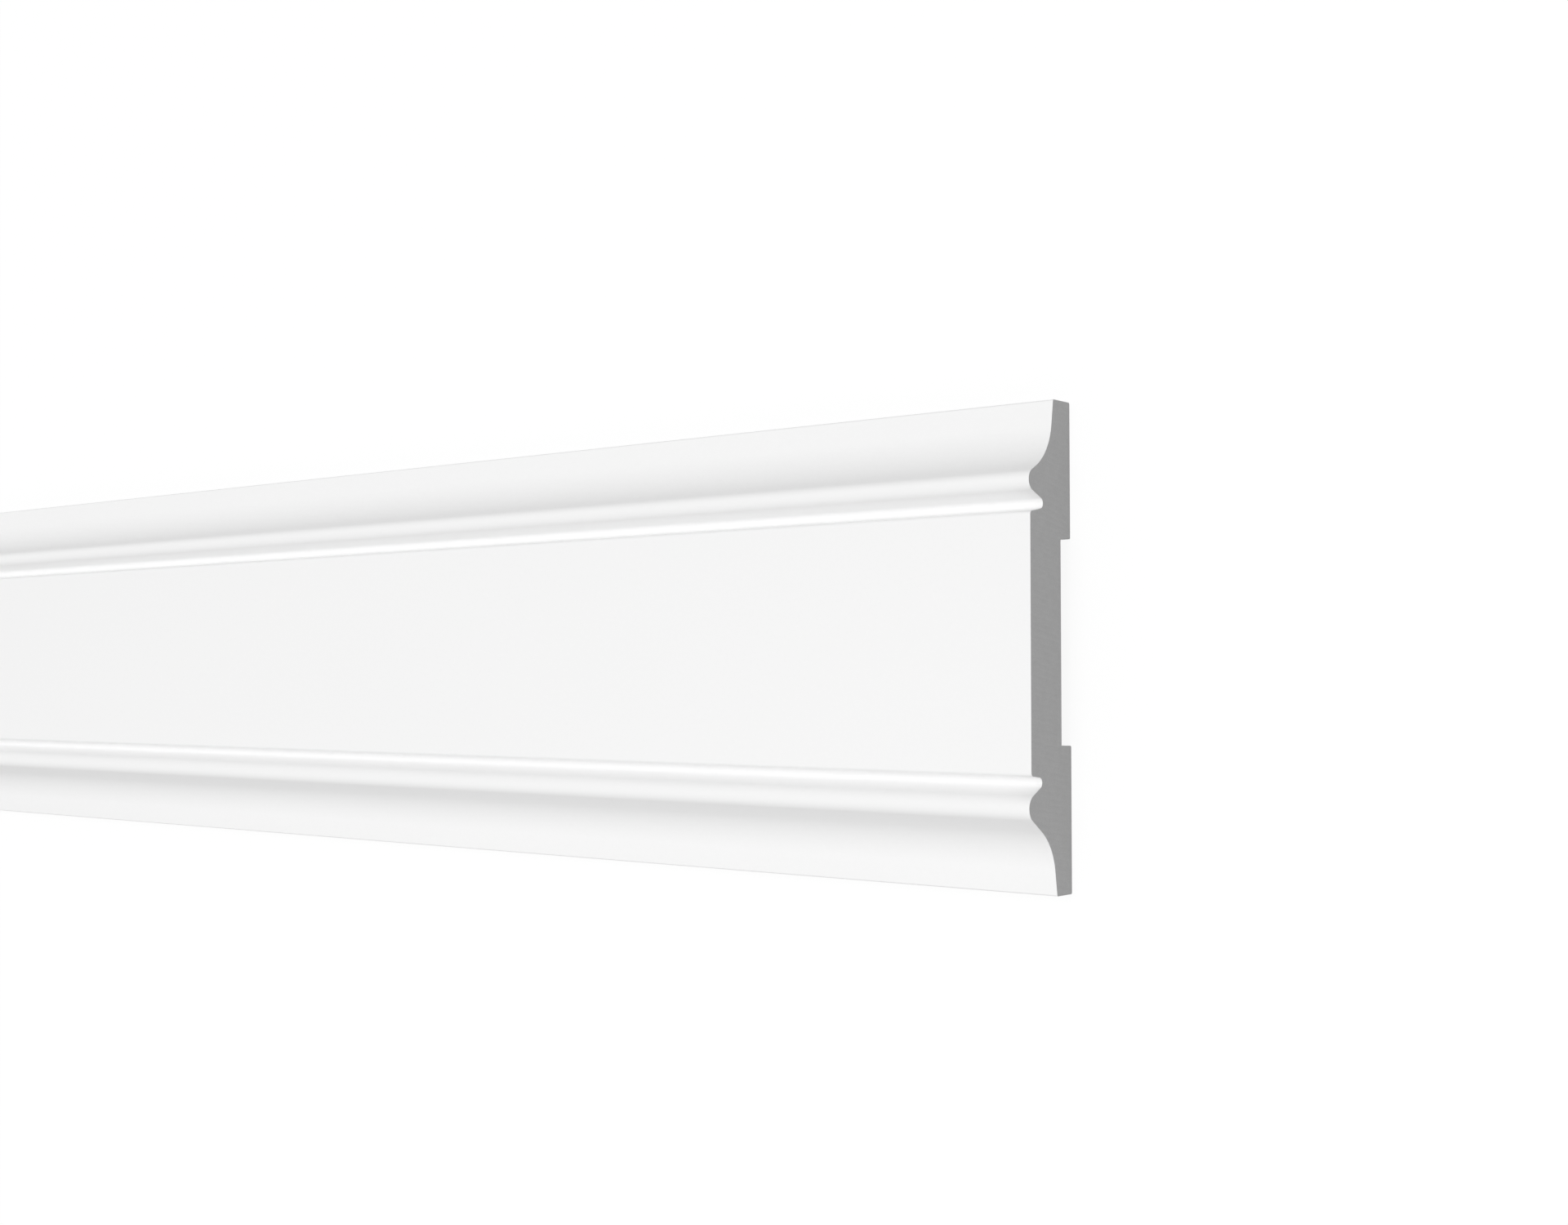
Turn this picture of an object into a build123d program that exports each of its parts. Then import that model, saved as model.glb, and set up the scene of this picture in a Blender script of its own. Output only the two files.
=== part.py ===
from build123d import *
from math import radians, tan
import os

# A length of decorative wall moulding, extruded in one piece and cut square at both ends.
# It lies on its back with its show face up: X runs along the length, Y up the wall, Z out
# of the wall. The origin is on the back plane, at the middle of the length and the width.
# Sizes are in millimetres and slopes in degrees.

# Stock
length = 2000.0
width = 100.0
field_height = 15.45  # flat field between the two bands, above the back plane

# Back: two lands that take the glue, with a shallow recess between them
upper_land = 28.0
lower_land = 30.0
recess_depth = 3.8
land_radius = 0.4

# Radii that both bands share
rim_radius = 0.4  # arris along the outer edge
cove_radius = 11.8  # hollow that sweeps up to the bead
cove_share = 0.95  # most of the straight runs on either side that the cove may take up
quirk_radius = 1.1  # floor of the narrow groove between bead and field
field_radius = 0.7  # arris where the field drops into the quirk

# Upper band: rim, splay, cove, bead and quirk, in from the top edge
upper_rim = 6.45  # thickness at the outer edge
upper_splay = 7.8  # nearly flat run from the rim into the cove
upper_flank = 60.6  # outer side of the bead
upper_bead_inset = 16.9  # bead's centre, from the outer edge
upper_bead_rise = 0.5  # bead's crest, above the field
upper_bead_radius = 2.3
upper_quirk_side = 67.3  # inner side of the bead, down into the quirk
upper_quirk_depth = 4.85  # quirk's floor, below the field
upper_quirk_wall = 78.5  # side of the quirk that climbs to the field

# Lower band: the same members, a little wider, in from the bottom edge
lower_rim = 5.75
lower_splay = 8.5
lower_flank = 55.7
lower_bead_inset = 17.95
lower_bead_rise = 0.85
lower_bead_radius = 2.9
lower_quirk_side = 62.3
lower_quirk_depth = 4.05
lower_quirk_wall = 83.0


def crossing(start, slope, other, other_slope):
    """The point where a line through start meets a line through other, each at its own slope."""
    along = Vector(1, 0).rotate(Axis.Z, slope)
    square = Vector(0, 1).rotate(Axis.Z, other_slope)
    return start + along * ((other - start).dot(square) / along.dot(square))


def touching(centre, radius, slope):
    """The point where a line of this slope touches a circle: above it, or below for a negative radius."""
    return centre + Vector(0, radius).rotate(Axis.Z, slope)


def band_corners(
    rim, splay, flank, bead_inset, bead_rise, bead_radius, quirk_side, quirk_depth, quirk_wall
):
    """One band's section from its rim in to the field, as sharp corners (inset, height) with their radii."""
    outer_edge = Vector(0, rim)
    field = Vector(0, field_height)
    bead = Vector(bead_inset, field_height + bead_rise - bead_radius)
    outer_touch = touching(bead, bead_radius, flank)
    inner_touch = touching(bead, bead_radius, -quirk_side)

    # the cove is no larger than the splay and the bead's flank leave room for
    cove = crossing(outer_edge, splay, outer_touch, flank)
    cove_room = cove_share * min((cove - outer_edge).length, (cove - outer_touch).length)
    largest_cove = cove_room / tan(radians(flank - splay) / 2)

    # the quirk's floor is an arc that touches the bead's inner side at the stated depth
    quirk_line = touching(bead, bead_radius + quirk_radius, -quirk_side)
    quirk_level = field + Vector(0, quirk_radius - quirk_depth)
    quirk = crossing(quirk_line, -quirk_side, quirk_level, 0)
    wall_touch = touching(quirk, -quirk_radius, quirk_wall)

    return [
        (outer_edge, rim_radius),
        (cove, min(cove_radius, largest_cove)),
        (crossing(outer_touch, flank, inner_touch, -quirk_side), bead_radius),
        (crossing(inner_touch, -quirk_side, wall_touch, quirk_wall), quirk_radius),
        (crossing(wall_touch, quirk_wall, field, 0), field_radius),
    ]


upper_band = band_corners(
    rim=upper_rim,
    splay=upper_splay,
    flank=upper_flank,
    bead_inset=upper_bead_inset,
    bead_rise=upper_bead_rise,
    bead_radius=upper_bead_radius,
    quirk_side=upper_quirk_side,
    quirk_depth=upper_quirk_depth,
    quirk_wall=upper_quirk_wall,
)
lower_band = band_corners(
    rim=lower_rim,
    splay=lower_splay,
    flank=lower_flank,
    bead_inset=lower_bead_inset,
    bead_rise=lower_bead_rise,
    bead_radius=lower_bead_radius,
    quirk_side=lower_quirk_side,
    quirk_depth=lower_quirk_depth,
    quirk_wall=lower_quirk_wall,
)

# The whole section, once round: back from bottom to top, then the show face down again
bottom = -width / 2
top = width / 2
sharp = 0.0
section = [
    ((bottom, 0), land_radius),
    ((bottom + lower_land, 0), land_radius),
    ((bottom + lower_land, recess_depth), sharp),
    ((top - upper_land, recess_depth), sharp),
    ((top - upper_land, 0), land_radius),
    ((top, 0), land_radius),
]
section += [((top - corner.X, corner.Y), radius) for corner, radius in upper_band]
section += [((bottom + corner.X, corner.Y), radius) for corner, radius in reversed(lower_band)]

with BuildPart() as moulding:
    with BuildSketch(Plane.YZ):
        with BuildLine():
            FilletPolyline(
                [corner for corner, radius in section],
                radius=[radius for corner, radius in section],
                close=True,
            )
        make_face()
    extrude(amount=length / 2, both=True)

moulding.part.label = "moulding"

os.makedirs("parts", exist_ok=True)
export_step(moulding.part, "parts/moulding.step")
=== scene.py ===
# %% [markdown]
# # A length of decorative wall moulding
# The real thing is one piece: white polymer pushed through a die, primed in the factory and
# sawn to length. Its whole character is its section, so this lesson draws that section finely,
# pushes it out to the sold length and then gives the primed faces and the sawn ends their
# own finishes. The moulding lies on its back, with its show face up.
#
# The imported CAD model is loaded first. It is the frame: it fixes the size and the place, and
# nothing below may leave its box.

from math import ceil, copysign, cos, degrees, pi, radians, tan

import bpy
from mathutils import Matrix, Vector


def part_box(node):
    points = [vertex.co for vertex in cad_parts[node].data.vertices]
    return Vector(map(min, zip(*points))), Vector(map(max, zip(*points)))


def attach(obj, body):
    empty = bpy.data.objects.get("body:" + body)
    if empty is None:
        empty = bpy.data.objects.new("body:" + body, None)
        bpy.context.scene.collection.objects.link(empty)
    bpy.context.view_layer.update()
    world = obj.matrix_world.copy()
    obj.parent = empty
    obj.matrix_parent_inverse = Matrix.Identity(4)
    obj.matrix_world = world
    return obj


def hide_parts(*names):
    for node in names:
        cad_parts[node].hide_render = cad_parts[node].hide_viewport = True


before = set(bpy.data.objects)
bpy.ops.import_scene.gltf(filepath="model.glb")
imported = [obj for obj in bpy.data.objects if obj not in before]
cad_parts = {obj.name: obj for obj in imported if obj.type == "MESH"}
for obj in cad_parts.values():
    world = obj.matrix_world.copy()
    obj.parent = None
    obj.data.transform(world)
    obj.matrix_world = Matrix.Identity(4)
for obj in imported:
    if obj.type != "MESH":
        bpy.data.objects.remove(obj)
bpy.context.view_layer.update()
low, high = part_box("moulding")
MM = 0.001
print("moulding in the frame, mm:", [round(side / MM, 2) for side in high - low])

# %% [markdown]
# ## Camera
# The picture was taken square to the width, from beyond the right end. With the moulding on its
# back that means a camera that hangs over it: it starts looking straight down with the upper
# band at the top of the picture, swings about the width towards the right end, and tips a little.
# Two turns in that order are an ordinary XYZ rotation, so no aim target is needed.

# %% Hang the camera over the right end
lens_mm = 43.456  # on the usual 36 mm sensor this is 45 degrees across the picture
swing = 38.80
tip = 2.11
past_right_end = 195.97 * MM
below_middle = 7.11 * MM
over_floor = 336.88 * MM

bpy.ops.object.camera_add(
    location=(high.x + past_right_end, -below_middle, low.z + over_floor),
    rotation=(radians(tip), radians(swing), 0),
)
camera = bpy.context.object
camera.name = "picture_camera"
camera.data.lens = lens_mm
bpy.context.scene.camera = camera
print("camera at, mm:", [round(place / MM, 1) for place in camera.location])

# %% [markdown]
# Blender's usual view transform softens bright tones, which would turn a white moulding grey. The
# Standard one shows a colour as it is written.

# %% Show colours as they are written
bpy.context.scene.view_settings.view_transform = "Standard"
print("view transform:", bpy.context.scene.view_settings.view_transform)

# %% [markdown]
# ## The members of the section
# A moulding maker names the members of a section: the rim at the outer edge, the splay that leads
# into the hollow cove, the round bead, the narrow quirk beside it and the flat field. Each band is
# described by a few sizes, from which its sharp corners follow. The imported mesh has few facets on
# its small radii, so these sizes, the same as in the solid, are used again to draw it finely.

# %% Sizes of the section, in millimetres and degrees
upper_band = {
    "rim": 6.45,
    "splay": 7.8,
    "flank": 60.6,
    "bead_inset": 16.9,
    "bead_rise": 0.5,
    "bead_radius": 2.3,
    "quirk_side": 67.3,
    "quirk_depth": 4.85,
    "quirk_wall": 78.5,
}
lower_band = {
    "rim": 5.75,
    "splay": 8.5,
    "flank": 55.7,
    "bead_inset": 17.95,
    "bead_rise": 0.85,
    "bead_radius": 2.9,
    "quirk_side": 62.3,
    "quirk_depth": 4.05,
    "quirk_wall": 83.0,
}
field_height = 15.45
rim_radius = 0.4
cove_radius = 11.8
quirk_radius = 1.1
field_radius = 0.7
upper_land = 28.0
lower_land = 30.0
recess_depth = 3.8
land_radius = 0.4
print("members of a band:", ", ".join(upper_band))

# %% [markdown]
# Small helpers do the setting out that a draughtsman does with a square and compasses: where two
# slopes cross, and where a line of a given slope touches a circle. A gable is an easy one to try.

# %% Set out slopes and circles
def turned(along, up, slope):
    """A step along and up, turned anticlockwise by a slope in degrees."""
    return Matrix.Rotation(radians(slope), 2) @ Vector((along, up))


def crossing(start, slope, other, other_slope):
    """Where a line through start meets a line through other, each at its own slope."""
    along = turned(1, 0, slope)
    square = turned(0, 1, other_slope)
    return start + along * ((other - start).dot(square) / along.dot(square))


def touching(centre, radius, slope):
    """Where a line of this slope touches a circle: above it, or below for a negative radius."""
    return centre + turned(0, radius, slope)


ridge = crossing(Vector((0, 0)), 45, Vector((2, 0)), -45)
print("a gable 2 wide with slopes of 45 degrees has its ridge at:", [round(place, 2) for place in ridge])

# %% [markdown]
# With them a band is a list of sharp corners, each with the radius that rounds it. The bead and the
# quirk's floor are circles of a known place and size. The straight runs beside them are lines that
# touch those circles, and the corners are where the lines cross.

# %% Corners of one band
def band_corners(band):
    """A band's corners from its rim in to the field, as (inset, height) with their radii."""
    outer_edge = Vector((0, band["rim"]))
    field = Vector((0, field_height))
    bead_radius = band["bead_radius"]
    bead = Vector((band["bead_inset"], field_height + band["bead_rise"] - bead_radius))
    flank = band["flank"]
    quirk_side = -band["quirk_side"]
    quirk_wall = band["quirk_wall"]
    outer_touch = touching(bead, bead_radius, flank)
    inner_touch = touching(bead, bead_radius, quirk_side)
    quirk_line = touching(bead, bead_radius + quirk_radius, quirk_side)
    quirk_level = field + Vector((0, quirk_radius - band["quirk_depth"]))
    quirk = crossing(quirk_line, quirk_side, quirk_level, 0)
    wall_touch = touching(quirk, -quirk_radius, quirk_wall)
    return [
        (outer_edge, rim_radius),
        (crossing(outer_edge, band["splay"], outer_touch, flank), cove_radius),
        (crossing(outer_touch, flank, inner_touch, quirk_side), bead_radius),
        (crossing(inner_touch, quirk_side, wall_touch, quirk_wall), quirk_radius),
        (crossing(wall_touch, quirk_wall, field, 0), field_radius),
    ]


for corner, radius in band_corners(upper_band):
    print("upper band corner, mm:", [round(place, 2) for place in corner], "radius", radius)

# %% [markdown]
# The whole section is one closed ring of corners. It runs along the back, from the bottom edge to
# the top edge, round the recess between the two glue lands, and comes down again over the show face.

# %% The ring of corners
bottom = low.y / MM
top = high.y / MM
sharp = 0.0

ring = [
    (Vector((bottom, 0)), land_radius),
    (Vector((bottom + lower_land, 0)), land_radius),
    (Vector((bottom + lower_land, recess_depth)), sharp),
    (Vector((top - upper_land, recess_depth)), sharp),
    (Vector((top - upper_land, 0)), land_radius),
    (Vector((top, 0)), land_radius),
]
ring += [(Vector((top - inset, height)), radius) for (inset, height), radius in band_corners(upper_band)]
ring += [
    (Vector((bottom + inset, height)), radius)
    for (inset, height), radius in reversed(band_corners(lower_band))
]
print("section corners:", len(ring))

# %% [markdown]
# ## Drawing the section
# A section with many small radii could be bevelled from a polygon, but a bevel makes a true circle
# only at a right angle. Drawing it like a pen plotter is exact: one vertex is extruded along each
# straight run and spun about the centre of each arc. So every corner first becomes the place where
# its arc starts, the arc's centre, how far it turns, and where it ends.

# %% Turn each corner into an arc
def rounded(before, corner, after, radius):
    """A corner's arc: its start, centre, turn (clockwise is positive) and end."""
    arrive = (corner - before).normalized()
    leave = (after - corner).normalized()
    turn = arrive.angle_signed(leave)
    reach = radius * tan(abs(turn) / 2)
    start = corner - arrive * reach
    centre = start - arrive.orthogonal() * copysign(radius, turn)
    return start, centre, turn, corner + leave * reach


arcs = []
for place, (corner, radius) in enumerate(ring):
    before = ring[place - 1][0]
    after = ring[(place + 1) % len(ring)][0]
    arcs.append((*rounded(before, corner, after, radius), radius))
print("arcs:", sum(radius > 0 for corner, radius in ring))

# %% [markdown]
# The pen starts as a small plane, merged to a single vertex and moved to the left end, where the
# last arc of the ring stops. The mesh stays in edit mode, with that vertex selected.

# %% Set the pen down on the left end
pen_size = 1 * MM


def on_left_end(point):
    """A point of the section, in millimetres, as a place on the left end, in metres."""
    return Vector((low.x, point.x * MM, low.z + point.y * MM))


bpy.ops.object.select_all(action="DESELECT")
bpy.ops.mesh.primitive_plane_add(size=pen_size, location=(0, 0, 0))
stock = bpy.context.object
stock.name = "moulding_stock"
stock.data.name = "moulding_stock"

bpy.ops.object.mode_set(mode="EDIT")
bpy.ops.mesh.select_mode(type="VERT")
bpy.ops.mesh.select_all(action="SELECT")
bpy.ops.mesh.merge(type="CENTER")
pen = on_left_end(arcs[-1][3])
bpy.ops.transform.translate(value=pen)
print("pen at, mm:", [round(place / MM, 2) for place in pen])

# %% [markdown]
# Extrude draws a straight run and spin draws an arc, and each leaves the new end selected for the
# next one. Steps of about three degrees keep the beads and coves smooth in a close view, and cost
# only a few hundred faces because each one runs the whole length. The ring ends where it began, so
# the doubles are merged at the end.

# %% Draw the outline
step_degrees = 3.0
weld = 0.001 * MM

for start, centre, turn, end, radius in arcs:
    run = on_left_end(start) - pen
    bpy.ops.mesh.extrude_region_move(TRANSFORM_OT_translate={"value": run})
    if radius > 0:
        steps = ceil(degrees(abs(turn)) / step_degrees)
        bpy.ops.mesh.spin(steps=steps, angle=turn, center=on_left_end(centre), axis=(1, 0, 0))
    pen = on_left_end(end)

bpy.ops.mesh.select_all(action="SELECT")
bpy.ops.mesh.remove_doubles(threshold=weld)
bpy.ops.object.mode_set(mode="OBJECT")
print("points round the section:", len(stock.data.vertices))

# %% [markdown]
# ## From outline to stock
# On the real line the die gives the section and the haul-off pulls it out to any length. Here the
# outline is filled with one face, and the face is extruded to the length that the frame gives.
# Recalculating the normals afterwards makes every face look outwards, whichever way the pen ran.

# %% Fill the outline and push it out to length
bpy.ops.object.mode_set(mode="EDIT")
bpy.ops.mesh.select_all(action="SELECT")
bpy.ops.mesh.edge_face_add()
bpy.ops.mesh.extrude_region_move(TRANSFORM_OT_translate={"value": (high.x - low.x, 0, 0)})
bpy.ops.mesh.select_all(action="SELECT")
bpy.ops.mesh.normals_make_consistent(inside=False)
bpy.ops.object.mode_set(mode="OBJECT")
print("faces:", len(stock.data.polygons))

# %% [markdown]
# Smooth shading by angle rounds the arcs and leaves the recess corners and the sawn edges crisp.
# Weighted normals then let the large flat faces keep their own direction, so that the field
# doesn't pick up a false bend from the small arris beside it.

# %% Smooth the arcs and keep the flats flat
crease_degrees = 30.0

bpy.ops.object.shade_smooth_by_angle(angle=radians(crease_degrees))
bpy.ops.object.modifier_add(type="WEIGHTED_NORMAL")
stock.modifiers[-1].keep_sharp = True
bpy.ops.object.modifier_apply(modifier=stock.modifiers[-1].name)
print("crisp edges:", sum(edge.use_edge_sharp for edge in stock.data.edges))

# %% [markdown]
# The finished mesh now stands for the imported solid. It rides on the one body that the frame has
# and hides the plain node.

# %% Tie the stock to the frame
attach(stock, "root")
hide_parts("moulding")

# %% [markdown]
# ## Grain
# Both finishes have a fine grain: the primer's slight orange peel on the faces, the closed cells
# of the polymer on the sawn ends. They differ only in size, in how far they are drawn out along
# the length, and in strength, so one node group serves both. It takes Object coordinates, which
# stay with the piece, and gives a tone between two values and a height for bump.

# %% Open the grain group
def add_node(tree, kind, **settings):
    """A new node with its settings made."""
    node = tree.nodes.new(kind)
    for name, value in settings.items():
        setattr(node, name, value)
    return node


grain = bpy.data.node_groups.new("fine_grain", "ShaderNodeTree")
grain.interface.new_socket("Coordinates", in_out="INPUT", socket_type="NodeSocketVector")
grain_defaults = {"Size": 1 * MM, "Stretch": 1.0, "Low": 0.0, "High": 1.0}
for name, value in grain_defaults.items():
    socket = grain.interface.new_socket(name, in_out="INPUT", socket_type="NodeSocketFloat")
    socket.default_value = value
grain.interface.new_socket("Tone", in_out="OUTPUT", socket_type="NodeSocketFloat")
grain.interface.new_socket("Height", in_out="OUTPUT", socket_type="NodeSocketFloat")
given = add_node(grain, "NodeGroupInput")
result = add_node(grain, "NodeGroupOutput")
print("grain group inputs:", [socket.name for socket in given.outputs if socket.name])

# %% [markdown]
# Inside the group, the coordinates are divided by the size of one grain, which is longer along the
# length by the stretch, and a noise reads them. Noise seldom strays far from its middle, so Map Range
# takes the middle half of its range and spreads it from the low tone to the high one.

# %% Fill the grain group
long_size = add_node(grain, "ShaderNodeMath", operation="MULTIPLY")
cell = add_node(grain, "ShaderNodeCombineXYZ")
in_cells = add_node(grain, "ShaderNodeVectorMath", operation="DIVIDE")
noise = add_node(grain, "ShaderNodeTexNoise", noise_dimensions="3D")
noise.inputs["Scale"].default_value = 1.0
noise.inputs["Detail"].default_value = 2.0
noise.inputs["Roughness"].default_value = 0.55
spread = add_node(grain, "ShaderNodeMapRange")
spread.inputs["From Min"].default_value = 0.25
spread.inputs["From Max"].default_value = 0.75

link = grain.links.new
link(given.outputs["Size"], long_size.inputs[0])
link(given.outputs["Stretch"], long_size.inputs[1])
link(long_size.outputs[0], cell.inputs["X"])
link(given.outputs["Size"], cell.inputs["Y"])
link(given.outputs["Size"], cell.inputs["Z"])
link(given.outputs["Coordinates"], in_cells.inputs[0])
link(cell.outputs[0], in_cells.inputs[1])
link(in_cells.outputs[0], noise.inputs["Vector"])
link(noise.outputs[0], spread.inputs["Value"])
link(given.outputs["Low"], spread.inputs["To Min"])
link(given.outputs["High"], spread.inputs["To Max"])
link(spread.outputs[0], result.inputs["Tone"])
link(noise.outputs[0], result.inputs["Height"])
print("grain group nodes:", len(grain.nodes))

# %% [markdown]
# ## Primed faces
# Factory primer is a matt white that still has a little life in it: a faint orange peel from the
# spray, hairlines that the die drew along the length, and broad patches where the coat is a touch
# thicker. Each finish starts the same way, as a Principled shader and the piece's own Object
# coordinates, so a helper makes that start.

# %% Start the primer
def new_material(name):
    """A material with only its output, its shader and Object coordinates."""
    material = bpy.data.materials.new(name)
    material.use_nodes = True
    tree = material.node_tree
    tree.nodes.clear()
    output = add_node(tree, "ShaderNodeOutputMaterial")
    shader = add_node(tree, "ShaderNodeBsdfPrincipled")
    coordinates = add_node(tree, "ShaderNodeTexCoord").outputs["Object"]
    tree.links.new(shader.outputs[0], output.inputs["Surface"])
    return material, tree, shader, coordinates


primer, tree, shader, coordinates = new_material("primed_white")
print("primer starts with:", [node.bl_label for node in tree.nodes])

# %% [markdown]
# Four grains make the primer. One strong pattern would look dirty, so each only nudges the tone, the
# roughness or the relief by a little. The hairlines are the same grain drawn out along the length.

# %% Place the primer's grains
def add_grain(tree, coordinates, size, stretch=1.0, low=0.0, high=1.0):
    """The grain group placed in a material with its own values."""
    node = add_node(tree, "ShaderNodeGroup", node_tree=grain)
    tree.links.new(coordinates, node.inputs["Coordinates"])
    for name, value in zip(grain_defaults, (size, stretch, low, high)):
        node.inputs[name].default_value = value
    return node


peel = add_grain(tree, coordinates, size=1.1 * MM, low=0.0, high=0.5)
hairlines = add_grain(tree, coordinates, size=1.4 * MM, stretch=160, low=0.0, high=0.06)
patches = add_grain(tree, coordinates, size=55 * MM, stretch=3, low=0.0, high=0.5)
matt = add_grain(tree, coordinates, size=4 * MM, stretch=12, low=0.50, high=0.58)
print("primer grains:", sum(node.type == "GROUP" for node in tree.nodes))

# %% [markdown]
# The tone runs between a thin and a thick coat. The primer is a very clean white, and that matters
# for the shape too: the narrow quirks are lit mostly by light that their own walls pass on.

# %% Colour the primer
primer_thin = (0.97, 0.97, 0.97, 1)
primer_thick = (0.985, 0.985, 0.985, 1)


def add_sum(tree, first, second):
    """Two values added together."""
    node = add_node(tree, "ShaderNodeMath", operation="ADD")
    tree.links.new(first, node.inputs[0])
    tree.links.new(second, node.inputs[1])
    return node.outputs[0]


def add_mixed_colour(tree, factor, first, second):
    """A colour between two, by a factor."""
    node = add_node(tree, "ShaderNodeMix", data_type="RGBA")
    colours = {"A": first, "B": second}
    for socket in node.inputs:
        if socket.type == "RGBA":
            socket.default_value = colours[socket.name]
    tree.links.new(factor, node.inputs["Factor"])
    return next(socket for socket in node.outputs if socket.type == "RGBA")


tone = add_sum(tree, peel.outputs["Tone"], patches.outputs["Tone"])
colour = add_mixed_colour(tree, tone, primer_thin, primer_thick)
tree.links.new(colour, shader.inputs["Base Color"])
print("primer white, thin and thick:", primer_thin[0], primer_thick[0])

# %% [markdown]
# Roughness and relief come from the same grains. The relief is about a hundredth of a millimetre
# deep: enough to soften a glancing highlight, and not enough to show as bumps.

# %% Give the primer its roughness and relief
peel_depth = 0.010 * MM


def add_bump(tree, shader, height, depth):
    """Bump of a real depth on a shader's normal."""
    node = add_node(tree, "ShaderNodeBump")
    node.inputs["Strength"].default_value = 1.0
    node.inputs["Distance"].default_value = depth
    tree.links.new(height, node.inputs["Height"])
    tree.links.new(node.outputs[0], shader.inputs["Normal"])


roughness = add_sum(tree, matt.outputs["Tone"], hairlines.outputs["Tone"])
tree.links.new(roughness, shader.inputs["Roughness"])
relief = add_sum(tree, peel.outputs["Height"], hairlines.outputs["Height"])
add_bump(tree, shader, relief, peel_depth)
print("primer nodes:", len(tree.nodes))

# %% [markdown]
# ## Sawn ends
# Where the saw went through, the polymer shows bare: a flat light grey with closed cells too fine
# to count, and the ghost of the blade's teeth across it. That grey is partly the bare polymer and
# partly painted shade on the end, which is turned away from the key light. Cut as geometry, such
# shallow marks would be heavy and hard to see. So the grain group gives the cells, and a wave
# texture, turned a little as a blade leans, gives the tooth marks.

# %% Place the cells and the tooth marks
tooth_pitch = 1.3 * MM
blade_lean = 9.0
wave_radians = 20.0  # a wave texture runs through this many for each unit of its scale

sawn, tree, shader, coordinates = new_material("sawn_end")
cells = add_grain(tree, coordinates, size=0.3 * MM)
cloud = add_grain(tree, coordinates, size=2.5 * MM, low=-0.3, high=0.3)
lean = add_node(tree, "ShaderNodeMapping")
lean.inputs["Rotation"].default_value = (radians(blade_lean), 0, 0)
teeth = add_node(tree, "ShaderNodeTexWave", wave_type="BANDS", bands_direction="Y")
teeth.inputs["Scale"].default_value = 2 * pi / (wave_radians * tooth_pitch)
teeth.inputs["Distortion"].default_value = 1.5
teeth.inputs["Detail"].default_value = 1.0
tree.links.new(coordinates, lean.inputs["Vector"])
tree.links.new(lean.outputs[0], teeth.inputs["Vector"])
print("tooth marks across the end:", round((high.y - low.y) / tooth_pitch))

# %% [markdown]
# The bare polymer is duller than the primer, and its colour is darker: partly the bare polymer's own
# grey, partly painted shade on the end. Cells and cloud tint it, and cells and tooth marks give it
# relief, a few hundredths of a millimetre deep.

# %% Finish the sawn end
# painted shade: these greys are set darker partly for the bare polymer and partly for the shade on the
# end faces
bare_and_shade_dark = (0.77, 0.77, 0.77, 1)
bare_and_shade_light = (0.83, 0.83, 0.83, 1)
bare_roughness = 0.85
tooth_depth = 0.035 * MM

tone = add_sum(tree, cells.outputs["Tone"], cloud.outputs["Tone"])
colour = add_mixed_colour(tree, tone, bare_and_shade_dark, bare_and_shade_light)
tree.links.new(colour, shader.inputs["Base Color"])
shader.inputs["Roughness"].default_value = bare_roughness
relief = add_sum(tree, cells.outputs["Height"], teeth.outputs["Fac"])
add_bump(tree, shader, relief, tooth_depth)
print("sawn end nodes:", len(tree.nodes))

# %% [markdown]
# ## Dressing the stock
# Both finishes go on the one piece, as they do on the real one. The faces that look along the
# length are the sawn ends, so they are picked out by their normals.

# %% Put the finishes on
end_facing = 0.99

stock.data.materials.append(primer)
stock.data.materials.append(sawn)
for face in stock.data.polygons:
    is_end = abs(face.normal.x) > end_facing
    face.material_index = 1 if is_end else 0
print("sawn faces:", sum(face.material_index for face in stock.data.polygons))

# %% [markdown]
# ## Light
# The picture is a studio one. A broad soft light hangs over the show face and leans towards the upper
# band. It could be a large area lamp, but a sun lamp with a wide disc gives the same light all along
# the stock. Lamps are counted here by their share of the light on a level white card. The shares come
# to a little under 1, so a colour renders about as it is written.

# %% Hang the key light
key_share = 0.345
key_softness = 30.0
key_lean = 10.0
key_height = 1.0

bpy.ops.object.light_add(type="SUN", location=(0, 0, key_height), rotation=(radians(-key_lean), 0, 0))
key = bpy.context.object
key.name = "key"
key.data.energy = key_share * pi / cos(radians(key_lean))
key.data.angle = radians(key_softness)
print("key light, W per square metre:", round(key.data.energy, 3))

# %% [markdown]
# A weak strip light hangs along the lower band, off the right end. It makes the field fade slowly
# towards the left and towards the upper band, as it does in the picture. It is a long narrow area
# lamp, turned so that its face looks straight at the stock.

# %% Hang a strip light beside the lower band
strip_watts = 0.36
strip_length = 800 * MM
strip_width = 250 * MM
strip_past_end = 50 * MM
strip_aside = 400 * MM
strip_height = 420 * MM

strip_place = Vector((high.x + strip_past_end, -strip_aside, strip_height))
reach = strip_place - Vector((strip_place.x, 0, high.z))
aim = reach.to_track_quat("Z", "Y").to_euler()
bpy.ops.object.light_add(type="AREA", location=strip_place, rotation=aim)
strip = bpy.context.object
strip.name = "strip"
strip.data.shape = "RECTANGLE"
strip.data.size = strip_length
strip.data.size_y = strip_width
strip.data.energy = strip_watts
strip.visible_camera = False
print("strip light turned, degrees:", [round(degrees(turn), 1) for turn in aim])

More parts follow.
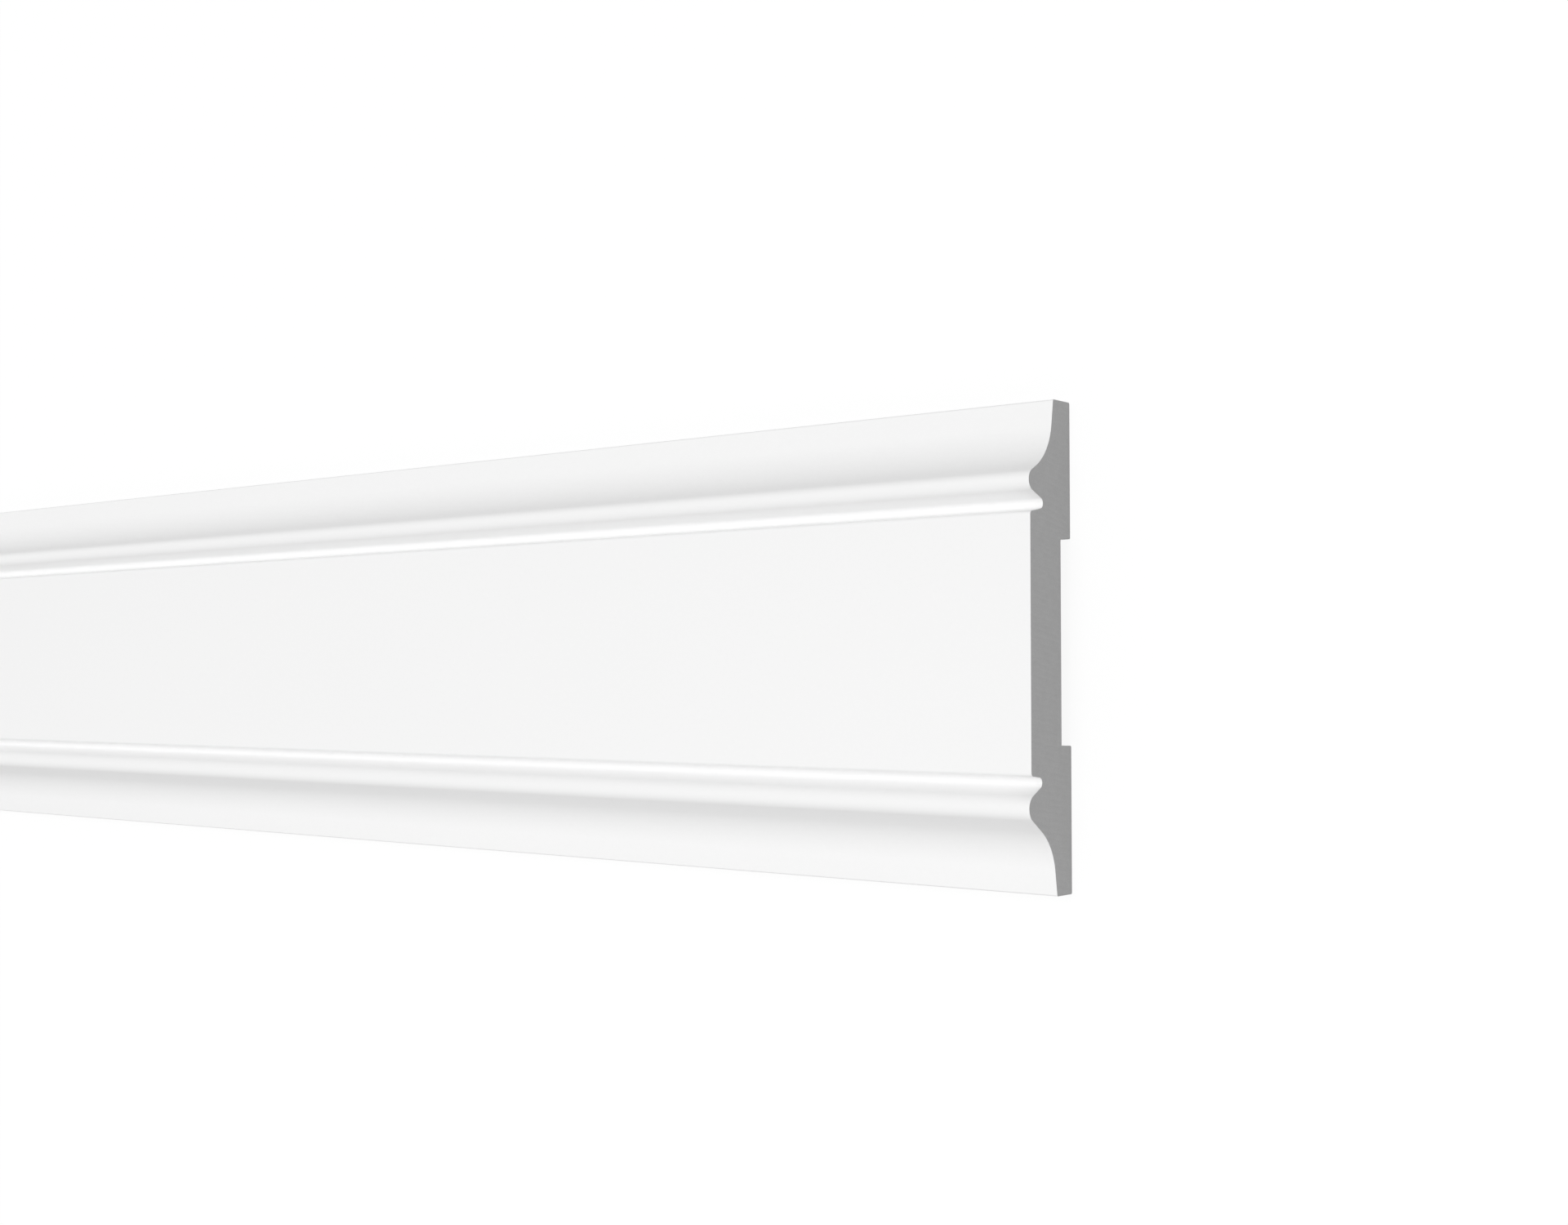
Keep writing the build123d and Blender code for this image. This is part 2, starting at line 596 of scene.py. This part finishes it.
# %% [markdown]
# The background is plain white, but a white room would light the moulding too strongly. Light Path
# tells seeing from lighting: a helper gives 1 for the rays by which the room is seen, straight or in
# something shiny or clear, and 0 for the rays that gather diffuse light for the moulding.

# %% Tell seeing from lighting
ways_of_seeing = ["Is Camera Ray", "Is Glossy Ray", "Is Transmission Ray"]


def add_seen(tree):
    """1 for rays by which a surface is seen, and 0 for those that gather diffuse light."""
    path = add_node(tree, "ShaderNodeLightPath")
    seen = path.outputs[ways_of_seeing[0]]
    for way in ways_of_seeing[1:]:
        either = add_node(tree, "ShaderNodeMath", operation="MAXIMUM")
        tree.links.new(seen, either.inputs[0])
        tree.links.new(path.outputs[way], either.inputs[1])
        seen = either.outputs[0]
    return seen


print("ways of seeing:", ", ".join(ways_of_seeing))

# %% [markdown]
# The world then has two strengths. As light it is an even fill from all round, over half of the light
# on the card. Where it is seen, it is white.

# %% Fill the room
fill_share = 0.525

world = bpy.data.worlds.new("studio")
bpy.context.scene.world = world
world.use_nodes = True
tree = world.node_tree
tree.nodes.clear()
level = add_node(tree, "ShaderNodeMapRange")
level.inputs["To Min"].default_value = fill_share
level.inputs["To Max"].default_value = 1.0
backdrop = add_node(tree, "ShaderNodeBackground")
backdrop.inputs["Color"].default_value = (1, 1, 1, 1)
output = add_node(tree, "ShaderNodeOutputWorld")
tree.links.new(add_seen(tree), level.inputs["Value"])
tree.links.new(level.outputs[0], backdrop.inputs["Strength"])
tree.links.new(backdrop.outputs[0], output.inputs["Surface"])
print("key and fill on a level card:", round(key_share + fill_share, 3))

# %% [markdown]
# ## Floor
# The moulding lies on a sheet of paper, so large that no view shows its edge. The paper is stage and
# no part of the object, so it rides on nothing.

# %% Lay the floor
floor_size = 40.0

bpy.ops.mesh.primitive_plane_add(size=floor_size, location=(0, 0, low.z))
floor = bpy.context.object
floor.name = "floor"
print("floor, m:", floor_size)

# %% [markdown]
# For the light that bounces off it, the paper is a quiet grey, which keeps the outer edges of the
# moulding from glowing. Where the camera looks, it is mostly its own white, and only a little of it
# is lit, so the background is white while a faint shadow of the moulding stays on it.

# %% Make the paper
floor_tone = 0.20
lit_part = 0.10  # of the white that the camera sees

paper = bpy.data.materials.new("floor_paper")
paper.use_nodes = True
tree = paper.node_tree
tree.nodes.clear()
seen = add_seen(tree)
shown = add_node(tree, "ShaderNodeMapRange")
shown.inputs["To Min"].default_value = floor_tone
shown.inputs["To Max"].default_value = lit_part
own_white = add_node(tree, "ShaderNodeMath", operation="MULTIPLY")
own_white.inputs[1].default_value = 1 - lit_part * (key_share + fill_share)
matt_floor = add_node(tree, "ShaderNodeBsdfDiffuse")
glow = add_node(tree, "ShaderNodeEmission")
both = add_node(tree, "ShaderNodeAddShader")
output = add_node(tree, "ShaderNodeOutputMaterial")
tree.links.new(seen, shown.inputs["Value"])
tree.links.new(seen, own_white.inputs[0])
tree.links.new(shown.outputs[0], matt_floor.inputs["Color"])
tree.links.new(own_white.outputs[0], glow.inputs["Strength"])
tree.links.new(matt_floor.outputs[0], both.inputs[0])
tree.links.new(glow.outputs[0], both.inputs[1])
tree.links.new(both.outputs[0], output.inputs["Surface"])
floor.data.materials.append(paper)
print("paper's tone, and its own white:", floor_tone, round(own_white.inputs[1].default_value, 3))
